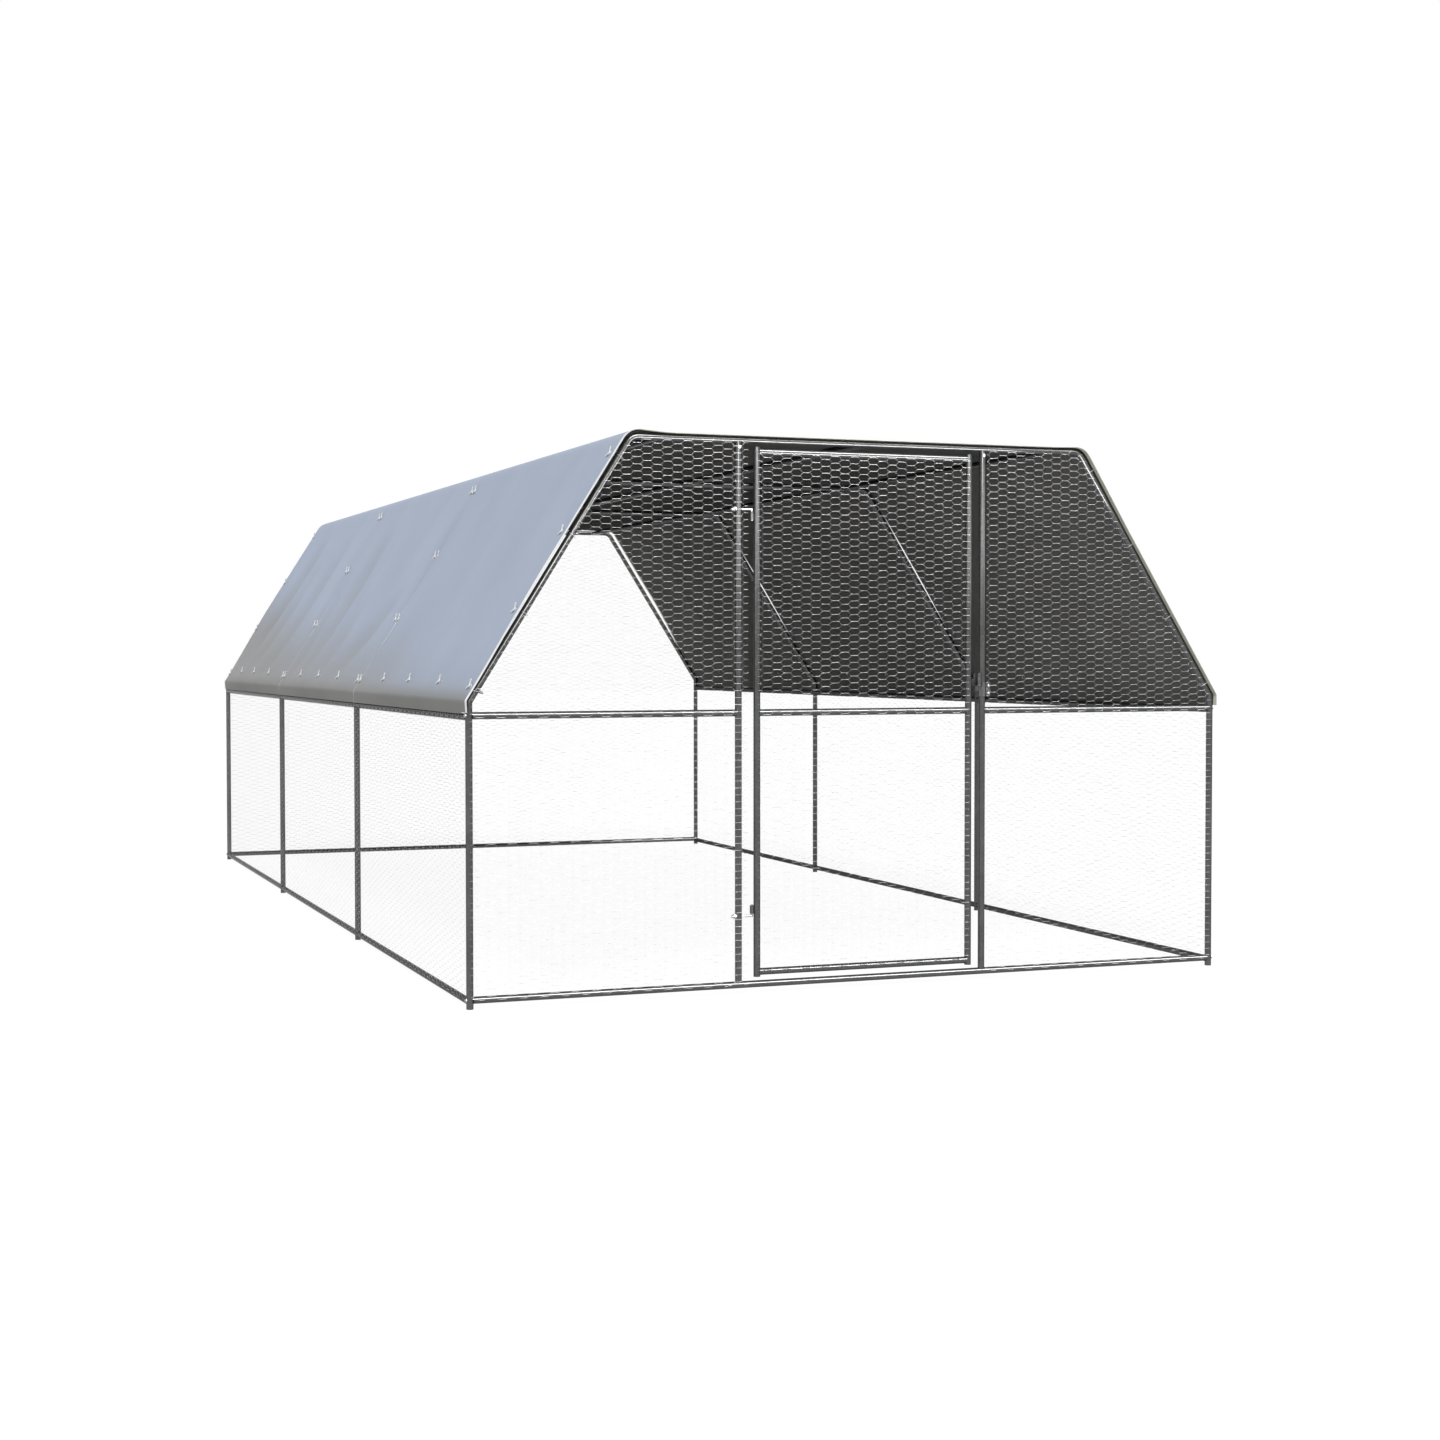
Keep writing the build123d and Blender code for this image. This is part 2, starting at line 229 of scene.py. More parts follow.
# Screws that hold the top of each door post to the top tube.
# Small pan heads with a washer, zinc plated, driven in from the front.
screw_head_rings = (
    (-0.001, 0.006),
    (0.0009, 0.006),
    (0.0011, 0.0048),
    (0.0028, 0.0044),
    (0.0036, 0.0026),
    (0.0031, 0.0012),
)
screw_head = turned("screw_head", 16, screw_head_rings)
door_post_x = (-0.495, 0.488)
screw_places = [((x, -2.9556, 1.970), facing_front) for x in door_post_x]
door_post_screws = place_copies(screw_head, "door_post_screws", screw_places)
door_post_screws.data.materials.append(bright_zinc)
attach(door_post_screws, "frame")

# Hinge tails: each hook's threaded end comes out of the left side of the left door post.
# It is held there by a washer, a six-sided nut and a tapered cap.
hinge_nut_rings = (
    (0, 0.0086),
    (0.0006, 0.0092),
    (0.0062, 0.0092),
    (0.0068, 0.0086),
    (0.0069, 0.0066),
)
hinge_nut = turned("hinge_nut", 6, hinge_nut_rings)
hinge_cap_rings = (
    (-0.003, 0.0102),
    (0.0002, 0.0102),
    (0.0003, 0.0068),
    (0.0085, 0.0066),
    (0.0135, 0.0042),
    (0.017, 0.0018),
)
hinge_cap = turned("hinge_cap", 20, hinge_cap_rings)
tail_x = door_post_x[0] - 0.0122
tail_places = [((tail_x, front_y, z), facing_left) for z in (1.748, 0.279)]
hinge_nuts = place_copies(hinge_nut, "hinge_nuts", tail_places)
hinge_nuts.data.materials.append(bright_zinc)
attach(hinge_nuts, "frame")
hinge_caps = place_copies(hinge_cap, "hinge_caps", tail_places)
hinge_caps.data.materials.append(bright_zinc)
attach(hinge_caps, "frame")

# Latch bolts: two round-headed bolts, zinc plated, close the clamp's flange beside the right door post.
# A six-sided nut sits on each behind the flange, with the end of the thread standing out.
latch_bolt_rings = (
    (-0.001, 0.0052),
    (0.0005, 0.0052),
    (0.0016, 0.005),
    (0.0028, 0.0042),
    (0.0036, 0.003),
    (0.0039, 0.0012),
)
latch_bolt = turned("latch_bolt", 20, latch_bolt_rings)
latch_heights = (1.108, 1.079)
flange_x = 0.514
latch_bolt_places = [((flange_x, -2.9455, z), facing_front) for z in latch_heights]
latch_bolts = place_copies(latch_bolt, "latch_bolts", latch_bolt_places)
latch_bolts.data.materials.append(bright_zinc)
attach(latch_bolts, "frame")
latch_nut_rings = (
    (-0.001, 0.0058),
    (0.0038, 0.0058),
    (0.0042, 0.0052),
    (0.0043, 0.0031),
    (0.0072, 0.0031),
    (0.0077, 0.0025),
)
latch_nut = turned("latch_nut", 6, latch_nut_rings)
latch_nut_places = [((flange_x, -2.9405, z), facing_back) for z in latch_heights]
latch_nuts = place_copies(latch_nut, "latch_nuts", latch_nut_places)
latch_nuts.data.materials.append(bright_zinc)
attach(latch_nuts, "frame")

# Wire nets: six-sided chicken netting of thin zinc-coated wire, its twists lying level.
# Two wires are twisted together along each level side and part along the slanting ones.
# The nets are stretched over the outside of the tubes and cut off along them.
net_period = 0.0763
net_row = 0.02505
net_start = (-0.6155, 0.0061)
twist_half = 0.0135
strand_radius = 0.00023
twist_wide = 0.0007
twist_flat = 0.00045
twists = []
for centre in ((0, 0), (net_period / 2, net_row / 2)):
    bpy.ops.object.select_all(action="DESELECT")
    bpy.ops.mesh.primitive_circle_add(vertices=4, radius=twist_wide, rotation=(0, math.pi / 2, 0))
    bpy.ops.object.transform_apply(location=True, rotation=True, scale=True)
    twist = bpy.context.object
    bpy.ops.object.mode_set(mode="EDIT")
    bpy.ops.mesh.select_all(action="SELECT")
    bpy.ops.transform.resize(value=(1, twist_flat / twist_wide, 1), center_override=(0, 0, 0))
    bpy.ops.transform.translate(value=(-twist_half, 0, 0))
    for step in (1, 2):
        bpy.ops.mesh.extrude_region_move(TRANSFORM_OT_translate={"value": (twist_half, 0, 0)})
        ring_centre = ((step - 1) * twist_half, 0, 0)
        bpy.ops.transform.rotate(value=math.pi / 2, orient_axis="X", center_override=ring_centre)
    bpy.ops.mesh.select_all(action="SELECT")
    bpy.ops.transform.translate(value=(centre[0], 0, centre[1]))
    bpy.ops.mesh.normals_make_consistent(inside=False)
    bpy.ops.object.mode_set(mode="OBJECT")
    twists.append(twist)
slant_ends = (
    ((twist_half, 0), (net_period / 2 - twist_half, net_row / 2)),
    ((twist_half, 0), (net_period / 2 - twist_half, -net_row / 2)),
    ((net_period / 2 + twist_half, net_row / 2), (net_period - twist_half, 0)),
    ((net_period / 2 + twist_half, net_row / 2), (net_period - twist_half, net_row)),
)
for start, end in slant_ends:
    run = end[0] - start[0]
    rise = end[1] - start[1]
    bpy.ops.object.select_all(action="DESELECT")
    bpy.ops.mesh.primitive_cylinder_add(
        vertices=3,
        radius=strand_radius,
        depth=math.hypot(run, rise),
        end_fill_type="NOTHING",
        location=((start[0] + end[0]) / 2, 0, (start[1] + end[1]) / 2),
        rotation=(0, math.atan2(run, rise), 0),
    )
    bpy.ops.object.transform_apply(location=True, rotation=True, scale=True)
    twists.append(bpy.context.object)
for piece in twists:
    piece.select_set(True)
bpy.context.view_layer.objects.active = twists[0]
bpy.ops.object.join()
netting = bpy.context.object
netting.name = "netting_repeat"
bpy.ops.object.shade_smooth()
net_wire = zinc_finish(
    "net_wire",
    dark=(0.49, 0.492, 0.495),
    light=(0.58, 0.582, 0.585),
    smoothest=0.32,
    roughest=0.42,
    edge=0.6,
)
netting.data.materials.append(net_wire)


def stretch_net(name, low, high, cuts, turn, offset):
    # A flat net between two corners, cut along its slanting sides, then turned and set in place
    first = []
    for start, step, least in zip(net_start, (net_period, net_row), low):
        first.append(start + step * (math.floor((least - start) / step) - 1))
    net = netting.copy()
    net.data = netting.data.copy()
    net.name = f"{name}_wire"
    scene.collection.objects.link(net)
    bpy.ops.object.select_all(action="DESELECT")
    net.select_set(True)
    bpy.context.view_layer.objects.active = net
    columns = math.ceil((high[0] - first[0]) / net_period) + 1
    rows = math.ceil((high[1] - first[1]) / net_row) + 2
    for count, step in ((columns, (net_period, 0, 0)), (rows, (0, 0, net_row))):
        bpy.ops.object.modifier_add(type="ARRAY")
        spread = net.modifiers[-1]
        spread.use_relative_offset = False
        spread.use_constant_offset = True
        spread.constant_offset_displace = step
        spread.count = count
        bpy.ops.object.modifier_apply(modifier=spread.name)
    bpy.ops.object.mode_set(mode="EDIT")
    bpy.ops.mesh.select_all(action="SELECT")
    bpy.ops.transform.translate(value=(first[0], 0, first[1]))
    edges = [((low[0], low[1]), (-1, 0)), ((low[0], low[1]), (0, -1))]
    edges += [((high[0], high[1]), (1, 0)), ((high[0], high[1]), (0, 1)), *cuts]
    for point, way in edges:
        bpy.ops.mesh.select_all(action="SELECT")
        bpy.ops.mesh.bisect(
            plane_co=(point[0], 0, point[1]),
            plane_no=(way[0], 0, way[1]),
            clear_outer=True,
            use_fill=False,
        )
    bpy.ops.object.mode_set(mode="OBJECT")
    net.rotation_euler = (0, 0, turn)
    net.location = offset
    bpy.ops.object.transform_apply(location=True, rotation=True, scale=True)
    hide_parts(name)
    return net


tube_radius = 0.0125
post_x = 1.490
knee_z = 1.063
roof_corner_x = 0.900
roof_z = 1.996
slope = math.atan2(roof_z - knee_z, post_x - roof_corner_x)
left_slope_cut = ((-post_x, knee_z), (-math.sin(slope), math.cos(slope)))
right_slope_cut = ((post_x, knee_z), (math.sin(slope), math.cos(slope)))
front_wire_y = -2.9563
front_left_wire = stretch_net(
    "front_left_net", (-post_x, end_rail_z), (-0.462, roof_z), [left_slope_cut], 0, (0, front_wire_y, 0)
)
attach(front_left_wire, "frame")
front_right_wire = stretch_net(
    "front_right_net", (0.5005, end_rail_z), (post_x, roof_z), [right_slope_cut], 0, (0, front_wire_y, 0)
)
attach(front_right_wire, "frame")
door_wire = stretch_net("door_net", (-0.423, 0.075), (0.431, 1.956), [], 0, (0, front_wire_y, 0))
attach(door_wire, "door")
gable_cuts = [left_slope_cut, right_slope_cut]
back_wire = stretch_net(
    "back_net", (-post_x, end_rail_z), (post_x, roof_z), gable_cuts, 0, (0, -front_wire_y, 0)
)
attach(back_wire, "frame")
side_wire_x = 1.5033
side_low = (-2.934, 0.0255)
side_high = (2.934, 1.019)
left_wire = stretch_net("left_net", side_low, side_high, [], math.pi / 2, (-side_wire_x, 0, 0))
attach(left_wire, "frame")
right_wire = stretch_net("right_net", side_low, side_high, [], math.pi / 2, (side_wire_x, 0, 0))
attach(right_wire, "frame")
bpy.data.objects.remove(netting)

# The side nets get a lighter copy of the same zinc, painted light, chosen to match how light they look in
# the photograph
side_net_painted_light = zinc_finish(
    "side_net_wire_painted_light",
    dark=(0.66, 0.662, 0.665),
    light=(0.75, 0.752, 0.755),
    smoothest=0.32,
    roughest=0.42,
    edge=0.6,
)
for net in (left_wire, right_wire):
    net.data.materials.clear()
    net.data.materials.append(side_net_painted_light)

# Roof covers: three sheets of woven plastic cloth, silver outside, charcoal inside, pale gable hems.
# Each lies over one bay, bends round the rafters, hangs just below the knees and is tied to the ribs.
# It stands off the left rafters a little and falls into soft folds towards the back.
cloth_thickness = 0.0012
cloth_out = tube_radius + 0.0002 + cloth_thickness / 2
cloth_x = post_x + cloth_out
cloth_knee_z = knee_z + cloth_out * math.tan((math.pi / 2 - slope) / 2)
cloth_corner_x = roof_corner_x + cloth_out * math.tan(slope / 2)
cloth_top_z = roof_z + cloth_out
cloth_edge_z = 1.0208
knee_radius = 0.012
bend_radius = 0.050 + cloth_out
knee_turn = math.pi / 2 - slope
knee_tangent = knee_radius * math.tan(knee_turn / 2)
bend_tangent = bend_radius * math.tan(slope / 2)
valance_length = cloth_knee_z - cloth_edge_z - knee_tangent
knee_length = knee_radius * knee_turn
corner_to_knee = math.hypot(cloth_corner_x - cloth_x, cloth_top_z - cloth_knee_z)
slope_length = corner_to_knee - knee_tangent - bend_tangent
bend_length = bend_radius * slope
half_top = cloth_corner_x - bend_tangent
slope_start = half_top + bend_length
slope_end = slope_start + slope_length
half_sheet = slope_end + knee_length + valance_length


def on_section(distance):
    # Point and outward direction on the sheet's cross-section, at this distance from the ridge line
    side = -1 if distance < 0 else 1
    rest = abs(distance)
    if rest <= half_top:
        return (side * rest, cloth_top_z), (0, 1)
    if rest <= slope_start:
        turn = (rest - half_top) / bend_radius
        x = half_top + bend_radius * math.sin(turn)
        z = cloth_top_z - bend_radius * (1 - math.cos(turn))
        return (side * x, z), (side * math.sin(turn), math.cos(turn))
    if rest <= slope_end:
        fall = rest - slope_start
        x = half_top + bend_radius * math.sin(slope) + fall * math.cos(slope)
        z = cloth_top_z - bend_radius * (1 - math.cos(slope)) - fall * math.sin(slope)
        return (side * x, z), (side * math.sin(slope), math.cos(slope))
    knee_centre_z = cloth_edge_z + valance_length
    if rest <= slope_end + knee_length:
        turn = slope + (rest - slope_end) / knee_radius
        x = cloth_x - knee_radius + knee_radius * math.sin(turn)
        z = knee_centre_z + knee_radius * math.cos(turn)
        return (side * x, z), (side * math.sin(turn), math.cos(turn))
    return (side * cloth_x, knee_centre_z - (rest - slope_end - knee_length)), (side, 0)


def slope_share(distance):
    # How far down the slope a place is: nought at its top, one at the knee
    return (abs(distance) - slope_start) / slope_length


def at_height(z):
    # Distance from the ridge line to this height on the slope
    return slope_start + (cloth_top_z - bend_radius * (1 - math.cos(slope)) - z) / math.sin(slope)


def hump(x):
    # Nought at both ends, one in the middle
    return math.sin(math.pi * min(max(x, 0), 1)) ** 2


def soft_step(x):
    # From nought to one with soft ends
    x = min(max(x, 0), 1)
    return x * x * (3 - 2 * x)


def spaced(start, end, largest):
    # Even steps from the start up to but without the end
    count = math.ceil((end - start) / largest)
    return [start + (end - start) * i / count for i in range(count)]


def stand_off(y, share, distance):
    # How far the cloth stands off the tubes: loose on the left slope, close everywhere else
    down = slope_share(distance)
    on_left = distance < 0
    most = 0.0115 + 0.0012 * (y + 2.97) if on_left else 0.0035
    if down < 0:
        return most * soft_step((abs(distance) - 0.74) / (slope_start - 0.74))
    if on_left:
        held = 0.2 + 0.65 * hump(share) ** 0.5
        loose = 1 - (1 - held) * soft_step((down - 0.5) / 0.5)
    else:
        loose = 1 - soft_step(down / 0.35)
    if down > 1:
        loose *= max(0, 1 - (abs(distance) - slope_end) / (half_sheet - slope_end))
    return most * loose


# Folds: side, start and end down the slope, places along the run there, depth, width
cover_folds = (
    (-1, 0.03, 0.98, 2.27, 2.53, 0.024, 0.12),
    (-1, 0.15, 0.98, 1.95, 2.08, 0.013, 0.09),
    (-1, 0.12, 0.98, 1.45, 1.58, 0.016, 0.10),
    (-1, 0.15, 0.98, 0.38, 0.44, 0.024, 0.13),
    (-1, 0.35, 1.00, 0.78, 0.76, 0.014, 0.10),
    (-1, 0.50, 1.00, -0.80, -0.34, 0.017, 0.13),
    (-1, 0.50, 1.00, -0.05, 0.02, 0.012, 0.12),
    (-1, 0.50, 1.02, -1.52, -1.51, 0.006, 0.22),
    # These two run along the seams, and their creases are also painted darker as painted shade
    (-1, 0.06, 0.84, -0.99, -0.99, 0.018, 0.042),
    (-1, 0.28, 0.86, 0.97, 0.97, 0.012, 0.042),
    (1, 0.05, 0.98, 2.30, 2.12, 0.014, 0.09),
    (1, 0.20, 1.00, 1.52, 1.46, 0.012, 0.09),
    (1, 0.15, 0.98, 0.42, 0.55, 0.014, 0.10),
    (1, 0.40, 1.00, -0.45, -0.40, 0.010, 0.12),
    (1, 0.50, 1.00, -1.70, -1.66, 0.009, 0.16),
)


def fold_depth(y, distance):
    # How deep the folds are at this place, each with one steeper side
    down = slope_share(distance)
    total = 0
    for side, start, end, first, last, deep, wide in cover_folds:
        if side * distance > 0 and start < down < end:
            share = (down - start) / (end - start)
            away = (y - first - (last - first) * share) / wide
            away *= 1.3 if away < 0 else 0.7
            total += deep * hump(share) ** 0.6 * math.exp(-away * away)
    return total


def slit(distance, start, end, most):
    # How far the back edge of a sheet draws away from its rib on the right slope, between two ties
    if distance < 0:
        return 0
    return most * hump((slope_share(distance) - start) / (end - start))


tuck_length = 0.006


def tucked(distance):
    # Share of the full tuck by which a sheet's back edge goes under the next one, low on the left slope
    return soft_step((slope_share(distance) - 0.4) / 0.3) if distance < 0 else 0


def drawn_forward(distance):
    # The rear sheet is pulled forward off the last rib, over the top and down most of the right slope
    over_top = soft_step((distance + half_top) / half_top)
    down = slope_share(distance)
    pull = 0.068 + 0.018 * hump(down)
    return pull * over_top * (1 - 0.85 * soft_step((down - 0.4) / 0.6))


rib_y = (front_y, -0.981, 0.981, -front_y)
gable_end = 2.973
before_rib = 0.004
after_seam = 0.003


def front_sheet_draw(distance):
    return slit(distance, 0.02, 0.76, 0.013) - tuck_length * tucked(distance)


def middle_sheet_draw(distance):
    return slit(distance, 0.08, 0.80, 0.015) - tuck_length * tucked(distance)


# Each sheet's front edge, back edge and how far that draws forward at a distance from the ridge
cover_edges = {
    "front_cover": (-gable_end, rib_y[1] - before_rib, front_sheet_draw),
    "middle_cover": (rib_y[1] - after_seam, rib_y[2] - before_rib, middle_sheet_draw),
    "rear_cover": (rib_y[2] - after_seam, gable_end, drawn_forward),
}

# Eyelets, each with a tie: four down each slope at every rib, three along each eave.
# Each has its place along the run, how far behind it the rib lies, nought at an eave,
# and its distance from the ridge line.
eyelet_from_rib = 0.029
rib_eyelets = [at_height(z) for z in (1.930, 1.652, 1.378, 1.116)]
rib_eyelets = [-d for d in rib_eyelets] + rib_eyelets
eave_eyelet = at_height(1.125)
cover_eyelets = {}
for bay, name in enumerate(cover_edges):
    draw_back = cover_edges[name][2]
    places = [(rib_y[bay] + eyelet_from_rib, -eyelet_from_rib, d) for d in rib_eyelets]
    for d in rib_eyelets:
        reach = eyelet_from_rib + (draw_back(d) if name == "rear_cover" else 0)
        places.append((rib_y[bay + 1] - reach, reach, d))
    for share in (0.25, 0.5, 0.75):
        y = rib_y[bay] + share * (rib_y[bay + 1] - rib_y[bay])
        places += [(y, 0, -eave_eyelet), (y, 0, eave_eyelet)]
    cover_eyelets[name] = places


def on_cover(name, share, distance):
    # Point and outward direction on one cover, with its looseness, folds and the pull of its ties
    front_edge, back_edge, draw_back = cover_edges[name]
    length = back_edge - front_edge
    y = front_edge + (length - draw_back(distance)) * share
    point, way = on_section(distance)
    loose = stand_off(y, share, distance)
    between_ribs = 1 - soft_step(1 - 6 * min(share, 1 - share))
    lift = loose - min(fold_depth(y, distance), 0.8 * loose + 0.02 * between_ribs)
    if abs(distance) < half_top:
        lift -= 0.005 * hump(share) * hump((abs(distance) % 0.8) / 0.8)
    for eyelet_y, reach, eyelet_distance in cover_eyelets[name]:
        apart = math.hypot(y - eyelet_y, distance - eyelet_distance) / 0.03
        if apart < 3:
            lift -= min(0.003, 0.6 * loose) * math.exp(-apart * apart)
    from_back = length * (1 - share)
    if name != "rear_cover":
        lift -= tucked(distance) * min(0.0025, 0.3 * loose) * max(0, 1 - from_back / 0.03)
    below_knee = max(0, abs(distance) - slope_end - knee_length) / valance_length
    raised = 0.005 * below_knee * soft_step(2 - (y - rib_y[0]) / 0.04)
    return (point[0] + way[0] * lift, y, point[1] + way[1] * lift + raised), way


# Where the sheet's mesh is divided across the run, finer round the bends and at the hem
knee_end = slope_end + knee_length
section_marks = spaced(0, half_top, 0.035)
section_marks += spaced(half_top, slope_start, 0.012)
section_marks += spaced(slope_start, slope_end, 0.022)
section_marks += spaced(slope_end, knee_end, 0.002)
section_marks += spaced(knee_end, half_sheet - 0.014, 0.006)
section_marks += [half_sheet - 0.014, half_sheet - 0.012, half_sheet]
section_marks = [-d for d in reversed(section_marks[1:])] + section_marks


def woven_bump(nodes, links, shader, place):
    # The flat tapes of the weave, crossing like bricks
    weave = nodes.new("ShaderNodeTexBrick")
    weave.inputs["Scale"].default_value = 380
    weave.inputs["Color1"].default_value = (1, 1, 1, 1)
    weave.inputs["Color2"].default_value = (0.82, 0.82, 0.82, 1)
    weave.inputs["Mortar"].default_value = (0.3, 0.3, 0.3, 1)
    weave.inputs["Mortar Size"].default_value = 0.03
    bump = nodes.new("ShaderNodeBump")
    bump.inputs["Strength"].default_value = 0.15
    bump.inputs["Distance"].default_value = 0.0004
    links.new(place.outputs["Vector"], weave.inputs["Vector"])
    links.new(weave.outputs["Color"], bump.inputs["Height"])
    links.new(bump.outputs["Normal"], shader.inputs["Normal"])


def dyed(nodes, links, under, over, share):
    # One colour over another, by a share that the cloth carries
    mix = nodes.new("ShaderNodeMix")
    mix.data_type = "RGBA"
    mix.inputs["B"].default_value = (*over, 1)
    links.new(share, mix.inputs["Factor"])
    links.new(under, mix.inputs["A"])
    return mix.outputs["Result"]


# Outer face: grey silver tinted blue as a painted sky reflection, greyer low on the slope with painted
# shade along the folds, a darker olive grey below the knee as painted shade, pale gable hems
cloth_outside, nodes, links, shader = new_finish("cover_outside")
place = nodes.new("ShaderNodeAttribute")
place.attribute_name = "cloth_place"
tone = nodes.new("ShaderNodeAttribute")
tone.attribute_name = "cloth_tone_and_shade"
shares = nodes.new("ShaderNodeSeparateXYZ")
clouds = nodes.new("ShaderNodeTexNoise")
clouds.inputs["Scale"].default_value = 2.2
clouds.inputs["Detail"].default_value = 4
links.new(tone.outputs["Vector"], shares.inputs["Vector"])
links.new(place.outputs["Vector"], clouds.inputs["Vector"])
# The blue in this silver is a painted sky reflection
silver_with_painted_sky = colour_steps(nodes, ((0.3, (0.345, 0.402, 0.510)), (0.7, (0.385, 0.442, 0.552))))
links.new(clouds.outputs["Fac"], silver_with_painted_sky.inputs["Fac"])
# Neutral grey low on the slope and towards the rear, which also carries the painted shade of the folds
colour = dyed(nodes, links, silver_with_painted_sky.outputs["Color"], (0.293, 0.296, 0.304), shares.outputs["X"])
# Painted shade: the upright valance below the knee is given a darker olive grey
colour = dyed(nodes, links, colour, (0.225, 0.225, 0.213), shares.outputs["Y"])
colour = dyed(nodes, links, colour, (0.92, 0.93, 0.94), shares.outputs["Z"])
links.new(colour, shader.inputs["Base Color"])
shine = nodes.new("ShaderNodeMapRange")
shine.inputs["To Min"].default_value = 0.45
shine.inputs["To Max"].default_value = 0.6
links.new(clouds.outputs["Fac"], shine.inputs["Value"])
links.new(shine.outputs["Result"], shader.inputs["Roughness"])
woven_bump(nodes, links, shader, place)
shader.inputs["Specular IOR Level"].default_value = 0.06

# Inner face: charcoal with a touch of olive, painted paler on the slopes as painted light where more
# light reaches them than the ceiling, paler on the turned hems
cloth_inside, nodes, links, shader = new_finish("cover_inside")
place = nodes.new("ShaderNodeAttribute")
place.attribute_name = "cloth_place"
tone = nodes.new("ShaderNodeAttribute")
tone.attribute_name = "cloth_tone_and_shade"
shares = nodes.new("ShaderNodeSeparateXYZ")
mottle = nodes.new("ShaderNodeTexNoise")
mottle.inputs["Scale"].default_value = 3
mottle.inputs["Detail"].default_value = 5
links.new(tone.outputs["Vector"], shares.inputs["Vector"])
links.new(place.outputs["Vector"], mottle.inputs["Vector"])
charcoal = colour_steps(nodes, ((0.3, (0.100, 0.100, 0.096)), (0.7, (0.130, 0.130, 0.124))))
links.new(mottle.outputs["Fac"], charcoal.inputs["Fac"])
# Painted light: a paler charcoal for the slopes, which get more light than the ceiling
slopes_painted_light = colour_steps(nodes, ((0.3, (0.170, 0.170, 0.163)), (0.7, (0.210, 0.210, 0.202))))
links.new(mottle.outputs["Fac"], slopes_painted_light.inputs["Fac"])
spread = nodes.new("ShaderNodeSeparateXYZ")
links.new(place.outputs["Vector"], spread.inputs["Vector"])
from_ridge = nodes.new("ShaderNodeMath")
from_ridge.operation = "ABSOLUTE"
links.new(spread.outputs["Y"], from_ridge.inputs[0])
on_slope = nodes.new("ShaderNodeMapRange")
on_slope.interpolation_type = "SMOOTHSTEP"
on_slope.inputs["From Min"].default_value = half_top - 0.1
on_slope.inputs["From Max"].default_value = slope_start + 0.05
links.new(from_ridge.outputs["Value"], on_slope.inputs["Value"])
either = nodes.new("ShaderNodeMix")
either.data_type = "RGBA"
links.new(on_slope.outputs["Result"], either.inputs["Factor"])
links.new(charcoal.outputs["Color"], either.inputs["A"])
links.new(slopes_painted_light.outputs["Color"], either.inputs["B"])
colour = dyed(nodes, links, either.outputs["Result"], (0.75, 0.75, 0.62), shares.outputs["Z"])
links.new(colour, shader.inputs["Base Color"])
woven_bump(nodes, links, shader, place)
shader.inputs["Roughness"].default_value = 0.6
shader.inputs["Specular IOR Level"].default_value = 0

# Cut edge: the pale core of the cloth where it is turned out, grey where it lies flat
cloth_rim, nodes, links, shader = new_finish("cover_cut_edge")
place = nodes.new("ShaderNodeTexCoord")
tone = nodes.new("ShaderNodeAttribute")
tone.attribute_name = "cloth_tone_and_shade"
shares = nodes.new("ShaderNodeSeparateXYZ")
fray = nodes.new("ShaderNodeTexNoise")
fray.inputs["Scale"].default_value = 900
links.new(tone.outputs["Vector"], shares.inputs["Vector"])
links.new(place.outputs["Object"], fray.inputs["Vector"])
cut = colour_steps(nodes, ((0.35, (0.84, 0.85, 0.86)), (0.65, (0.94, 0.95, 0.96))))
links.new(fray.outputs["Fac"], cut.inputs["Fac"])
turned_out = nodes.new("ShaderNodeMix")
turned_out.data_type = "RGBA"
turned_out.inputs["A"].default_value = (0.28, 0.32, 0.40, 1)
links.new(shares.outputs["X"], turned_out.inputs["Factor"])
links.new(cut.outputs["Color"], turned_out.inputs["B"])
colour = dyed(nodes, links, turned_out.outputs["Result"], (0.80, 0.81, 0.82), shares.outputs["Z"])
links.new(colour, shader.inputs["Base Color"])
shader.inputs["Roughness"].default_value = 0.7
